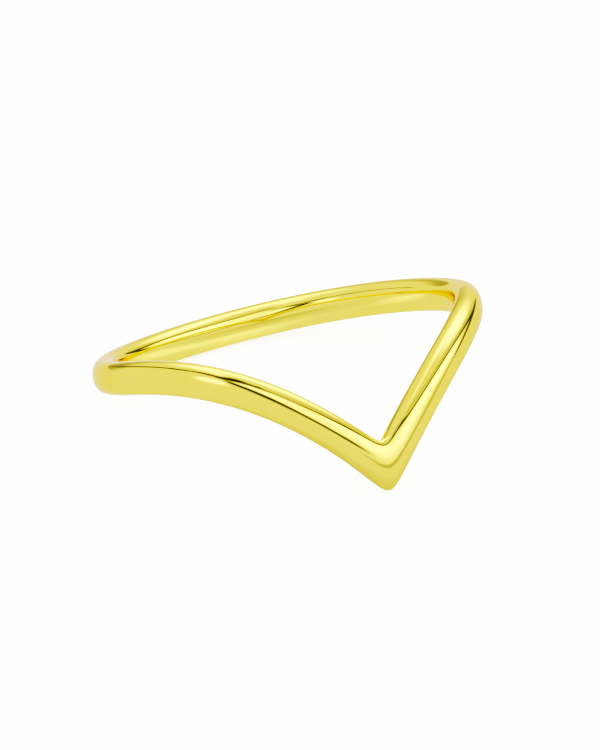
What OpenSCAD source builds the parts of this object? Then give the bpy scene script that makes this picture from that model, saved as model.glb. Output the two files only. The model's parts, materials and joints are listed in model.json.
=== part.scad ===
// Chevron ring: one plain polished band around a finger, level at the back, dipping to a V in front.
// The ring lies as it would on a table, on the point of its V and the lower edge of its back.
// The V points towards -Y, and the origin is the middle of the bottom of the whole ring's box.

/* [Band] */
// Inner diameter, across the finger
inner_d = 17.3; // [14:0.1:23]
// Thickness of the band, from its inner wall to its outer face
band_t = 1.4; // [1:0.05:2.5]
// Width of the band where it runs level, from its upper edge to its lower edge
band_w = 1.7; // [1.2:0.05:3.5]

/* [Section] */
// Fullness of the inner wall: 2 is an oval, more is flatter with tighter edges
inner_fullness = 2.8; // [2:0.1:5]
// Fullness of the outer face: 2 is an oval, more is flatter with tighter edges
outer_fullness = 2.3; // [2:0.1:5]
// Cant of the section at the back, with its upper edge inwards, fading out towards the point
back_cant = 10; // [0:1:20]

/* [Chevron] */
// Depth of the V, from the level back down to the point
v_depth = 6.7; // [2:0.1:9]
// Angle around the finger on each side of the point before the band runs level
v_reach = 83; // [50:1:110]
// Bend of the arms: 1 is straight up to the level back, more is straighter near the point alone
v_bend = 2.5; // [1.8:0.05:3]
// Twist left by bending: the front is lower on the right and the back on the left, by this height
twist = 0.12; // [0:0.01:0.3]

/* [Point] */
// Share by which the band is wider at the point than where it runs level
point_widening = 0.05; // [0:0.01:0.2]
// Length over which the crease in the notch is rounded
notch_soft = 0.05; // [0.02:0.01:0.5]
// Length over which the outer shoulder above the point is rounded
shoulder_soft = 0.7; // [0.05:0.05:1.2]
// Length over which the lower edge of the point is rounded
point_soft = 0.4; // [0.05:0.05:1.2]

/* [Hidden] */

// Sections from the back to the point, on each side
stations = 72;
// How strongly the sections crowd towards the point
crowding = 1.6;
// Points around each section, a multiple of 4 so that its four extremes are points
section_points = 28;
// How far towards the outer face the notch's crease stays sharp
crease_hold = 2.5;
// Halvings in the search for the angle at which the ring lies
lean_steps = 30;

inner_r = inner_d / 2;
middle_r = inner_r + band_t / 2;
reach_length = middle_r * v_reach * PI / 180;
// Roll about Y that levels the back's lower edge, which the twist tilts
roll = atan(2 * twist / middle_r);

// Power that keeps the sign of its base
function signed_pow(base, power) = sign(base) * pow(abs(base), power);

// Point of the unit section: x from -1 at the inner wall to 1 outside, y from -1 below to 1 above
function unit_section(index) =
    let (angle = 360 * index / section_points)
    let (fullness = cos(angle) > 0 ? outer_fullness : inner_fullness)
    [signed_pow(cos(angle), 2 / fullness), signed_pow(sin(angle), 2 / fullness)];

// Rounding length of the point along the line that one point of the section draws
function softness(unit) =
    let (outward = (1 + unit.x) / 2)
    let (low = (1 - unit.y) / 2)
    let (high_soft = notch_soft + (shoulder_soft - notch_soft) * pow(outward, crease_hold))
    high_soft * (1 - low) + point_soft * low;

// Share of the dip that is left at a length along the band from the point
function dip_share(along) = max(1 - along / reach_length, 0);

// Height of the band's middle line there, and its slope
function middle_height(along) = -v_depth * pow(dip_share(along), v_bend);
function middle_slope(along) = v_depth * v_bend / reach_length * pow(dip_share(along), v_bend - 1);

// Point of the band at an angle from the V, in the frame of the finger: +Z along the finger
function band_point(angle, unit) =
    let (along = norm([middle_r * angle * PI / 180, softness(unit)]))
    let (width = band_w * (1 + point_widening * dip_share(along)))
    let (outward = band_t / 2 * unit.x)
    let (upward = width / 2 * norm([1, middle_slope(along)]) * unit.y)
    let (cant = back_cant * (1 - cos(angle)) / 2)
    let (radius = middle_r + outward * cos(cant) - upward * sin(cant))
    let (rise = upward * cos(cant) + outward * sin(cant))
    [radius * sin(angle), -radius * cos(angle), middle_height(along) + rise - twist * sin(2 * angle)];

// Section of the band at an angle from the V
function band_section(angle) =
    [for (index = [0 : section_points - 1]) band_point(angle, unit_section(index))];

// Angle of one station, from -180 at the back through 0 at the point
function station_angle(station) = 180 * signed_pow(station / stations, crowding);

band_sections = [for (station = [-stations : stations - 1]) band_section(station_angle(station))];

// Height of a point once the ring is rolled level, and once it leans back by an angle as well
function rolled_height(point) = point.z * cos(roll) - point.x * sin(roll);
function leaning_height(point, lean) = rolled_height(point) * cos(lean) - point.y * sin(lean);
function lowest(section, lean) = min([for (point = section) leaning_height(point, lean)]);

// Lean at which the point of the V and the back's lower edge touch the table together
function resting_lean(low, high, steps) =
    let (middle = (low + high) / 2)
    steps == 0 ? middle
    : lowest(band_section(0), middle) > lowest(band_section(180), middle)
        ? resting_lean(low, middle, steps - 1)
        : resting_lean(middle, high, steps - 1);

lean = resting_lean(0, 60, lean_steps);

// Places of points once the ring lies: both sides, the far front, the far back and the lowest
sides = [for (section = band_sections, point = section) point.x * cos(roll) + point.z * sin(roll)];
side_x = (min(sides) + max(sides)) / 2;
function leaning_depth(point) = point.y * cos(lean) + rolled_height(point) * sin(lean);
function leaning_depths(section) = [for (point = section) leaning_depth(point)];
front_y = min(leaning_depths(band_section(0)));
back_y = max(leaning_depths(band_section(180)));
bottom_z = lowest(band_section(180), lean);

// Closed tube through a ring of sections that all have the same number of points
module closed_tube(sections) {
    around = len(sections);
    count = len(sections[0]);
    points = [for (section = sections) each section];
    faces = [
        for (station = [0 : around - 1], index = [0 : count - 1])
            let (next_station = (station + 1) % around)
            let (next_index = (index + 1) % count)
            let (a = station * count + index)
            let (b = next_station * count + index)
            let (c = next_station * count + next_index)
            let (d = station * count + next_index)
            each [[a, b, c], [a, c, d]]
    ];
    polyhedron(points = points, faces = faces);
}

// The whole ring, lying on the table
module band() {
    color("gold")
    translate([-side_x, -(front_y + back_y) / 2, -bottom_z])
    rotate([-lean, 0, 0])
    rotate([0, roll, 0])
    closed_tube(band_sections);
}

band();
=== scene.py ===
"""Chevron ring: a polished gold band lying on a white table, in a white studio.

The band's mesh replaces the plain solid of the frame. Its section, V and lean are worked out from
the sizes below and from the frame's finger hole, so it lies exactly where the solid does.
"""

import json
import math

import bpy
import numpy as np
from mathutils import Matrix, Vector


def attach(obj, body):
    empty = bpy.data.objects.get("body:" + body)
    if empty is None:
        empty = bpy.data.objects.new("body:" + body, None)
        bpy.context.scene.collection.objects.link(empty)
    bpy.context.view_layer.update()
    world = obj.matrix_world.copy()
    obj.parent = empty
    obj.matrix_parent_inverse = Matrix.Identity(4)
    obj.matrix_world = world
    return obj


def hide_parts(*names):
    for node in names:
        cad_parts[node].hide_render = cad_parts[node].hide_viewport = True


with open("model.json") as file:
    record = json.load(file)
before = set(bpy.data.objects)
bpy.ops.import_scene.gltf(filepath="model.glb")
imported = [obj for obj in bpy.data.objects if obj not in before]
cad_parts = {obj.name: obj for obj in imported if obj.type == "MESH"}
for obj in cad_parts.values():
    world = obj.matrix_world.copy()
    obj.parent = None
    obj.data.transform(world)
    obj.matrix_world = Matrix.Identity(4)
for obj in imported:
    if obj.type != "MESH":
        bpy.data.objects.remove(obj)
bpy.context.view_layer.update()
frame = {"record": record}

MM = 0.001

# Band, in metres
INNER_DIAMETER = 17.3 * MM
THICKNESS = 1.4 * MM
WIDTH = 1.7 * MM
POINT_WIDENING = 0.05
INNER_FULLNESS = 2.8
OUTER_FULLNESS = 2.3
BACK_CANT = math.radians(10)

# V of the band
V_DEPTH = 6.7 * MM
V_REACH = math.radians(83)
V_BEND = 2.5
TWIST = 0.12 * MM
NOTCH_SOFT = 0.05 * MM
SHOULDER_SOFT = 0.7 * MM
POINT_SOFT = 0.4 * MM
CREASE_HOLD = 2.5

# Fineness of the mesh: sections around the band, how they crowd towards the V, points of a section
SECTIONS = 720
CROWDING = 1.6
SECTION_POINTS = 120


def signed_power(base, power):
    """Power that keeps the sign of its base."""
    return np.sign(base) * np.abs(base) ** power


def unit_section():
    """Section of the band from -1 to 1: x from the inner wall outwards, y from below upwards."""
    turn = 2 * np.pi * np.arange(SECTION_POINTS) / SECTION_POINTS
    fullness = np.where(np.cos(turn) > 0, OUTER_FULLNESS, INNER_FULLNESS)
    return signed_power(np.cos(turn), 2 / fullness), signed_power(np.sin(turn), 2 / fullness)


def band_points():
    """Points of the band in the frame of the finger: a row for each section, the V at angle 0."""
    x, y = unit_section()
    station = np.arange(-SECTIONS // 2, SECTIONS // 2) / (SECTIONS // 2)
    angle = np.pi * signed_power(station, CROWDING)[:, None]
    outward = (1 + x) / 2
    low = (1 - y) / 2
    high_soft = NOTCH_SOFT + (SHOULDER_SOFT - NOTCH_SOFT) * outward**CREASE_HOLD
    soft = high_soft * (1 - low) + POINT_SOFT * low
    middle_radius = (INNER_DIAMETER + THICKNESS) / 2
    reach = middle_radius * V_REACH
    share = np.clip(1 - np.hypot(middle_radius * angle, soft) / reach, 0, None)
    slope = V_DEPTH * V_BEND / reach * share ** (V_BEND - 1)
    out = THICKNESS / 2 * x
    up = WIDTH / 2 * (1 + POINT_WIDENING * share) * np.hypot(1, slope) * y
    cant = BACK_CANT * (1 - np.cos(angle)) / 2
    radius = middle_radius + out * np.cos(cant) - up * np.sin(cant)
    rise = up * np.cos(cant) + out * np.sin(cant)
    height = rise - V_DEPTH * share**V_BEND - TWIST * np.sin(2 * angle)
    return np.stack([radius * np.sin(angle), -radius * np.cos(angle), height], axis=-1)


def finger_frame():
    """Place of the finger hole in the frame: its axis rolls and leans as the ring does on the table."""
    hole = next(m for m in frame["record"]["mounts"] if m["name"] == "finger_hole")
    axis = Vector(hole["axis"]).normalized()
    lean = Matrix.Rotation(-math.atan2(axis.y, axis.z), 4, "X")
    roll = Matrix.Rotation(math.asin(axis.x), 4, "Y")
    return Matrix.Translation(hole["pos_m"]) @ lean @ roll


def closed_tube(name, points, place):
    """Smooth closed mesh through a ring of sections."""
    sections, count = points.shape[:2]
    station = np.arange(sections)[:, None]
    index = np.arange(count)[None, :]
    next_station = (station + 1) % sections
    next_index = (index + 1) % count
    corners = [
        station * count + index,
        next_station * count + index,
        next_station * count + next_index,
        station * count + next_index,
    ]
    faces = np.stack([np.broadcast_to(c, (sections, count)) for c in corners], axis=-1)
    mesh = bpy.data.meshes.new(name)
    mesh.from_pydata(points.reshape(-1, 3).tolist(), [], faces.reshape(-1, 4).tolist())
    mesh.transform(place)
    mesh.shade_smooth()
    mesh.update()
    piece = bpy.data.objects.new(name, mesh)
    bpy.context.scene.collection.objects.link(piece)
    return piece


# Gold that faces the eye, between two shades that drift over the band, and its tint near the outline
GOLD = (1.0, 0.825, 0.2, 1)
GOLD_WARM = (0.99, 0.805, 0.185, 1)
GOLD_EDGE = (0.97, 0.9, 0.64, 1)
GOLD_ROUGHNESS = (0.035, 0.07)
# Levels of the noise at which a drifting shade and the drifting gloss begin and end
SHADE_LEVELS = (0.3, 0.6)
GLOSS_LEVELS = (0.3, 0.7)
# Size of the drifting shades and of the waves that polishing by hand leaves, and their height
SHADE_SIZE = 2.5 * MM
WAVE_SIZE = 1.6 * MM
WAVE_HEIGHT = 0.0012 * MM
# Size and height of the finest polishing marks
MARK_SIZE = 0.06 * MM
MARK_HEIGHT = 0.00001 * MM


def noise(tree, size, detail=2.0):
    """Soft noise with spots of a size in metres, fixed to the object."""
    place = tree.nodes.new("ShaderNodeTexCoord")
    texture = tree.nodes.new("ShaderNodeTexNoise")
    texture.inputs["Scale"].default_value = 1 / size
    texture.inputs["Detail"].default_value = detail
    tree.links.new(place.outputs["Object"], texture.inputs["Vector"])
    return texture.outputs["Fac"]


def shade(tree, drift, first, second):
    """Colour that drifts between two shades."""
    ramp = tree.nodes.new("ShaderNodeValToRGB")
    ramp.color_ramp.elements[0].color = first
    ramp.color_ramp.elements[0].position = SHADE_LEVELS[0]
    ramp.color_ramp.elements[1].color = second
    ramp.color_ramp.elements[1].position = SHADE_LEVELS[1]
    tree.links.new(drift, ramp.inputs["Fac"])
    return ramp.outputs["Color"]


def bump(tree, height, amount, below=None):
    """Unevenness of the surface, over a coarser one if there is one."""
    node = tree.nodes.new("ShaderNodeBump")
    node.inputs["Distance"].default_value = amount
    tree.links.new(height, node.inputs["Height"])
    if below:
        tree.links.new(below, node.inputs["Normal"])
    return node.outputs["Normal"]


def gold_material():
    """Polished yellow gold."""
    material = bpy.data.materials.new("polished_gold")
    material.use_nodes = True
    tree = material.node_tree
    shader = tree.nodes["Principled BSDF"]
    shader.inputs["Metallic"].default_value = 1
    shader.inputs["Specular Tint"].default_value = GOLD_EDGE
    drift = noise(tree, SHADE_SIZE)
    tree.links.new(shade(tree, drift, GOLD_WARM, GOLD), shader.inputs["Base Color"])
    gloss = tree.nodes.new("ShaderNodeMapRange")
    gloss.inputs["From Min"].default_value = GLOSS_LEVELS[0]
    gloss.inputs["From Max"].default_value = GLOSS_LEVELS[1]
    gloss.inputs["To Min"].default_value = GOLD_ROUGHNESS[0]
    gloss.inputs["To Max"].default_value = GOLD_ROUGHNESS[1]
    tree.links.new(drift, gloss.inputs["Value"])
    tree.links.new(gloss.outputs["Result"], shader.inputs["Roughness"])
    waves = bump(tree, noise(tree, WAVE_SIZE, 0), WAVE_HEIGHT)
    marks = bump(tree, noise(tree, MARK_SIZE), MARK_HEIGHT, waves)
    tree.links.new(marks, shader.inputs["Normal"])
    return material


def make_band():
    """The ring, in place of the plain solid."""
    band = closed_tube("gold_band", band_points(), finger_frame())
    band.data.materials.append(gold_material())
    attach(band, "root")
    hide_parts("band")


# Camera: it looks at the V from the left and from above, a little rolled, as the photograph does
CAMERA_DISTANCE = 0.5
CAMERA_TURN = math.radians(23.895)
CAMERA_TILT = math.radians(25.625)
CAMERA_ROLL = math.radians(-4.904)
SENSOR = 36.0
# Picture, with its scale at the ring and the pixel that shows the frame's origin
IMAGE_WIDTH = 600
IMAGE_HEIGHT = 750
PIXELS_PER_METRE = 19718
ORIGIN_PIXEL = (302.41, 415.76)


def make_camera():
    """Camera that shows the frame's origin at its pixel, at the photograph's scale."""
    right, forward, up = (
        Matrix.Rotation(CAMERA_ROLL, 3, "Y")
        @ Matrix.Rotation(CAMERA_TILT, 3, "X")
        @ Matrix.Rotation(CAMERA_TURN, 3, "Z")
    )
    across = (IMAGE_WIDTH / 2 - ORIGIN_PIXEL[0]) / PIXELS_PER_METRE
    above = (ORIGIN_PIXEL[1] - IMAGE_HEIGHT / 2) / PIXELS_PER_METRE
    camera_data = bpy.data.cameras.new("camera")
    camera_data.sensor_width = SENSOR
    camera_data.lens = PIXELS_PER_METRE * CAMERA_DISTANCE * SENSOR / IMAGE_HEIGHT
    camera_data.clip_start = CAMERA_DISTANCE / 50
    camera_data.clip_end = CAMERA_DISTANCE * 20
    camera = bpy.data.objects.new("camera", camera_data)
    camera.location = right * across + up * above - forward * CAMERA_DISTANCE
    camera.rotation_mode = "QUATERNION"
    camera.rotation_quaternion = Matrix((right, up, -forward)).transposed().to_quaternion()
    bpy.context.scene.collection.objects.link(camera)
    bpy.context.scene.camera = camera


# Half of the side of the square sheets under the ring
FLOOR_HALF = 3.0
# Whites that drift over the table, the size of their spots, and the light from below
TABLE_WHITE = (0.81, 0.81, 0.81, 1)
TABLE_DULL = (0.785, 0.785, 0.78, 1)
TABLE_DRIFT = 30 * MM
TABLE_GLOW = 0.7

# Glowing sheet just below the table that the gold shows in its place, and its brightness in the open
BOUNCE_DEPTH = 0.02 * MM
BOUNCE_OPEN = 0.84
# Its brightness in the painted shade under the ring, and the middle and reach of that painted shade
UNDER_RING = 0.62
UNDER_RING_MIDDLE = (-1 * MM, -5 * MM, 0)
UNDER_RING_REACH = 12 * MM
# Painted pool of light on the sheet, for light that the inner wall gathers on the table
GATHERED = 0.35
GATHERED_MIDDLE = (1 * MM, 7 * MM, 0)
GATHERED_REACH = 3 * MM


def floor_sheet(name, height, material):
    """Level square sheet under the ring."""
    corners = [(-1, -1), (1, -1), (1, 1), (-1, 1)]
    mesh = bpy.data.meshes.new(name)
    points = [(x * FLOOR_HALF, y * FLOOR_HALF, height) for x, y in corners]
    mesh.from_pydata(points, [], [(0, 1, 2, 3)])
    mesh.materials.append(material)
    sheet = bpy.data.objects.new(name, mesh)
    bpy.context.scene.collection.objects.link(sheet)
    return sheet


def table_material():
    """Matt white, lit partly by the room and partly from below."""
    material = bpy.data.materials.new("table")
    material.use_nodes = True
    tree = material.node_tree
    shader = tree.nodes["Principled BSDF"]
    white = shade(tree, noise(tree, TABLE_DRIFT), TABLE_DULL, TABLE_WHITE)
    tree.links.new(white, shader.inputs["Base Color"])
    shader.inputs["Roughness"].default_value = 1
    shader.inputs["Specular IOR Level"].default_value = 0
    shader.inputs["Emission Color"].default_value = (1, 1, 1, 1)
    shader.inputs["Emission Strength"].default_value = TABLE_GLOW
    return material


def fading(tree, middle, reach, inside, outside):
    """Level that goes softly from one value at a place on the table to another around it."""
    place = tree.nodes.new("ShaderNodeNewGeometry")
    distance = tree.nodes.new("ShaderNodeVectorMath")
    distance.operation = "DISTANCE"
    distance.inputs[1].default_value = middle
    level = tree.nodes.new("ShaderNodeMapRange")
    level.interpolation_type = "SMOOTHSTEP"
    level.inputs["From Max"].default_value = reach
    level.inputs["To Min"].default_value = inside
    level.inputs["To Max"].default_value = outside
    tree.links.new(place.outputs["Position"], distance.inputs[0])
    tree.links.new(distance.outputs["Value"], level.inputs["Value"])
    return level.outputs["Result"]


def bounce_material():
    """Glow for the light from the table, less under the ring by a painted shade, with a painted pool of
    light.
    """
    material = bpy.data.materials.new("bounce")
    material.use_nodes = True
    tree = material.node_tree
    tree.nodes.clear()
    output = tree.nodes.new("ShaderNodeOutputMaterial")
    glow = tree.nodes.new("ShaderNodeEmission")
    total = tree.nodes.new("ShaderNodeMath")
    # Painted shade under the ring and painted pool of light, added into the glow
    open_level = fading(tree, UNDER_RING_MIDDLE, UNDER_RING_REACH, UNDER_RING, BOUNCE_OPEN)
    gathered = fading(tree, GATHERED_MIDDLE, GATHERED_REACH, GATHERED, 0)
    tree.links.new(open_level, total.inputs[0])
    tree.links.new(gathered, total.inputs[1])
    tree.links.new(total.outputs["Value"], glow.inputs["Strength"])
    tree.links.new(glow.outputs["Emission"], output.inputs["Surface"])
    return material


def make_floor():
    """White table for the eye, and a duller sheet that takes its place in the gold."""
    table = floor_sheet("table", 0, table_material())
    table.visible_glossy = False
    bounce = floor_sheet("bounce_sheet", -BOUNCE_DEPTH, bounce_material())
    bounce.visible_camera = False
    bounce.visible_diffuse = False


# Brightness of the white room around the table
ROOM_WHITE = 1.5


def make_world():
    """Even white room."""
    world = bpy.data.worlds.new("studio")
    world.use_nodes = True
    background = world.node_tree.nodes["Background"]
    background.inputs["Color"].default_value = (1, 1, 1, 1)
    background.inputs["Strength"].default_value = ROOM_WHITE
    bpy.context.scene.world = world


# Screens hang on two domes around the ring and show in the gold alone. What the left arm shows hangs
# close to it, on the near dome, and all else on the far one. Each screen is a row of (turn, low edge,
# high edge) in degrees: the turn from -Y towards +X, and the height of its edges above the table.
FAR_DOME = {"middle": (0, 0, 0), "radius": 0.36}
NEAR_DOME = {"middle": (-7 * MM, -3 * MM, 4 * MM), "radius": 26 * MM}
# Faces from the low edge of a screen to its high one, and the turn of each face in degrees
SCREEN_ROWS = 8
SCREEN_STEP = 3

# Far dome: even pale lining of the whole
LINING = [(-181, -5, 90), (181, -5, 90)]
# Far dome, bright panels: over the ring at the left, high behind it on the right, and two in front
OVERHEAD = [(-190, 60, 88), (-150, 60, 88), (-120, 66, 88), (-90, 74, 88)]
WINDOW = [
    (72, 38, 74), (90, 28, 76), (110, 20, 78), (125, 15, 80), (145, 12, 82), (160, 14, 82),
    (175, 26, 82), (190, 42, 82), (208, 54, 82),
]
FRONT_MIDDLE = [(-24, 15, 60), (-10, 8, 60), (5, 5, 59), (18, 2, 55), (32, 2, 50), (48, 4, 44)]
FRONT_RIGHT = [(8, 10, 48), (25, 5, 50), (45, 2, 50), (62, 1, 44), (78, 3, 35), (94, 4, 24)]
# Far dome, dark strips: the arc over the ring, and the edge and far corner of the table on the right
ARC_RIGHT = [
    (-32, 61, 69), (-12, 58, 66), (0, 53, 60.5), (15, 46.5, 54), (30, 42, 50.5), (60, 34, 43),
    (75, 27, 36), (90, 17, 27), (105, 4, 16), (120, -4, 8),
]
EDGE = [(-5, 6, 11), (15, 2, 9), (40, 0, 7), (60, -1, 6), (90, -2, 5), (122, -4, 4)]
CORNER = [(76, -2, 5), (92, -3, 9), (108, -3, 13), (122, -3, 9), (132, -3, 3)]
# Far dome, shade: above that arc, and low behind the ring
SLOPE = [
    (-40, 60, 78), (-10, 58, 78), (15, 48, 76), (35, 42, 70), (55, 36, 64), (75, 27, 56),
    (90, 17, 46), (105, 3, 34), (120, -4, 22), (134, -4, 12),
]
REAR = [(150, -8, 14), (168, -12, 20), (180, -14, 24), (192, -12, 20), (210, -8, 14)]

# Near dome, bright panels: at the left and in front
SIDE = [(-85, 28, 42), (-76, 21, 49), (-66, 17, 54), (-56, 20, 52), (-47, 28, 45)]
FRONT_LEFT = [
    (-44, 50, 60), (-34, 45, 62), (-25, 36, 62), (-15, 24, 62), (-5, 16, 60), (5, 9, 57),
    (14, 5, 52),
]
# Near dome, dark strips: the arc over the arm, its branch to the front, and the knot between them
ARC = [
    (-175, -1, 9), (-165, 6, 17), (-150, 23, 37), (-135, 38, 54), (-120, 46, 63), (-105, 56, 71),
    (-90, 58, 73), (-75, 58, 73), (-60, 57, 72), (-45, 58, 71), (-30, 59, 70), (-15, 59, 69),
    (0, 59, 69), (16, 60, 68),
]
BRANCH = [
    (-58, 50, 62), (-50, 41, 59), (-45, 36, 57), (-40, 32, 54), (-35, 28, 51), (-30, 23, 47.5),
    (-25, 19.5, 43), (-20, 16.5, 38), (-15, 14.5, 32), (-10, 13, 26), (-5, 11.5, 21), (0, 10, 18),
    (10, 7, 13), (20, 4, 9), (28, 1, 6),
]
KNOT = [(-64, 54, 68), (-46, 51, 76), (-26, 55, 82), (-6, 57, 82), (16, 57, 76)]


def screen_material(name, brightness, softness):
    """Glowing cloth that fades out towards its edges, by the share of its width that is soft."""
    material = bpy.data.materials.new(name)
    material.use_nodes = True
    tree = material.node_tree
    tree.nodes.clear()
    output = tree.nodes.new("ShaderNodeOutputMaterial")
    mix = tree.nodes.new("ShaderNodeMixShader")
    clear = tree.nodes.new("ShaderNodeBsdfTransparent")
    glow = tree.nodes.new("ShaderNodeEmission")
    glow.inputs["Strength"].default_value = brightness
    edge = tree.nodes.new("ShaderNodeAttribute")
    edge.attribute_name = "from_edge"
    fade = tree.nodes.new("ShaderNodeMapRange")
    fade.interpolation_type = "SMOOTHSTEP"
    fade.inputs["From Max"].default_value = softness
    tree.links.new(edge.outputs["Fac"], fade.inputs["Value"])
    tree.links.new(fade.outputs["Result"], mix.inputs["Fac"])
    tree.links.new(clear.outputs["BSDF"], mix.inputs[1])
    tree.links.new(glow.outputs["Emission"], mix.inputs[2])
    tree.links.new(mix.outputs["Shader"], output.inputs["Surface"])
    return material


def screen(name, edges, brightness, softness=1, ends=0.17, dome=FAR_DOME, layer=1):
    """Part of a dome between its low and high edge, seen by the gold alone.

    It fades towards both edges by its softness, and towards its two ends over a share of its length.
    The layer is a share of the dome's radius, and smaller ones hang in front of larger ones.
    """
    turns, lows, highs = np.array(edges, dtype=float).T
    length = turns[-1] - turns[0]
    columns = round(length / SCREEN_STEP)
    span, share = np.meshgrid(
        np.linspace(0, 1, columns + 1), np.linspace(0, 1, SCREEN_ROWS + 1), indexing="ij"
    )
    turn = turns[0] + length * span
    low = np.interp(turn, turns, lows)
    high = np.interp(turn, turns, highs)
    height = np.radians(low + (high - low) * share)
    around = np.radians(turn)
    points = np.array(dome["middle"]) + dome["radius"] * layer * np.stack(
        [np.cos(height) * np.sin(around), -np.cos(height) * np.cos(around), np.sin(height)], axis=-1
    )
    from_edge = np.minimum(np.minimum(span, 1 - span) / ends, 2 * np.minimum(share, 1 - share))
    rows = SCREEN_ROWS + 1
    first = np.arange(columns)[:, None] * rows + np.arange(SCREEN_ROWS)[None, :]
    faces = np.stack([first, first + rows, first + rows + 1, first + 1], axis=-1)
    mesh = bpy.data.meshes.new(name)
    mesh.from_pydata(points.reshape(-1, 3).tolist(), [], faces.reshape(-1, 4).tolist())
    mesh.attributes.new("from_edge", "FLOAT", "POINT").data.foreach_set("value", from_edge.ravel())
    mesh.materials.append(screen_material(name, brightness, softness))
    cloth = bpy.data.objects.new(name, mesh)
    cloth.visible_camera = False
    cloth.visible_diffuse = False
    cloth.visible_shadow = False
    bpy.context.scene.collection.objects.link(cloth)


def make_screens():
    """All screens, on the far dome and then on the near one, each from the outermost inwards."""
    screen("lining", LINING, 0.85, softness=0.02, layer=1.08)
    screen("rear_shade", REAR, 0.42, ends=0.4, layer=1.06)
    screen("overhead_screen", OVERHEAD, 1.4, ends=0.3, layer=1.03)
    screen("window_screen", WINDOW, 2.1, ends=0.42)
    screen("front_middle_screen", FRONT_MIDDLE, 1.4, ends=0.35, layer=0.99)
    screen("front_right_screen", FRONT_RIGHT, 2.05, ends=0.35, layer=0.98)
    screen("slope_shade", SLOPE, 0.62, layer=0.96)
    screen("arc_right_strip", ARC_RIGHT, 0.01, softness=0.8, ends=0.12, layer=0.93)
    screen("edge_strip", EDGE, 0.5, layer=0.9)
    screen("corner_strip", CORNER, 0.04, layer=0.88)
    screen("side_screen", SIDE, 1.85, ends=0.4, dome=NEAR_DOME)
    screen("front_left_screen", FRONT_LEFT, 1.55, ends=0.3, dome=NEAR_DOME, layer=0.99)
    screen("arc_strip", ARC, 0.01, softness=0.9, ends=0.08, dome=NEAR_DOME, layer=0.97)
    screen("branch_strip", BRANCH, 0.01, softness=0.9, dome=NEAR_DOME, layer=0.95)
    screen("knot_strip", KNOT, 0.04, softness=0.85, ends=0.3, dome=NEAR_DOME, layer=0.54)


# Tone curve of the picture: shade is deepened, and bright tones level off towards white
TONE_RISE = 1.65
TONE_POWER = 1.5
TONE_WHITE = 2.4
# Points of the curve, and how strongly they crowd towards black
TONE_STEPS = 24
TONE_CROWDING = 1.5
# Bend of the blue tones: shade in the gold is purer yellow, and its lights are paler
BLUE_TONES = [
    (0, 0), (0.03, 0.006), (0.06, 0.02), (0.085, 0.05), (0.134, 0.15), (0.18, 0.23), (0.23, 0.31),
    (0.3, 0.4), (0.415, 0.5), (0.6, 0.64), (0.8, 0.8), (1, 1),
]


def set_tones():
    """Tone curve for red and green, and the bent one for blue."""
    view = bpy.context.scene.view_settings
    view.view_transform = "Standard"
    view.use_curve_mapping = True
    mapping = view.curve_mapping
    mapping.white_level = (TONE_WHITE, TONE_WHITE, TONE_WHITE)
    blue_from, blue_to = zip(*BLUE_TONES)
    for step in range(1, TONE_STEPS):
        share = (step / TONE_STEPS) ** TONE_CROWDING
        tone = 1 - math.exp(-((TONE_RISE * TONE_WHITE * share) ** TONE_POWER))
        blue = float(np.interp(tone, blue_from, blue_to))
        for channel, level in enumerate((tone, tone, blue)):
            mapping.curves[channel].points.new(share, level)
    mapping.update()


set_tones()
make_camera()
make_world()
make_floor()
make_screens()
make_band()
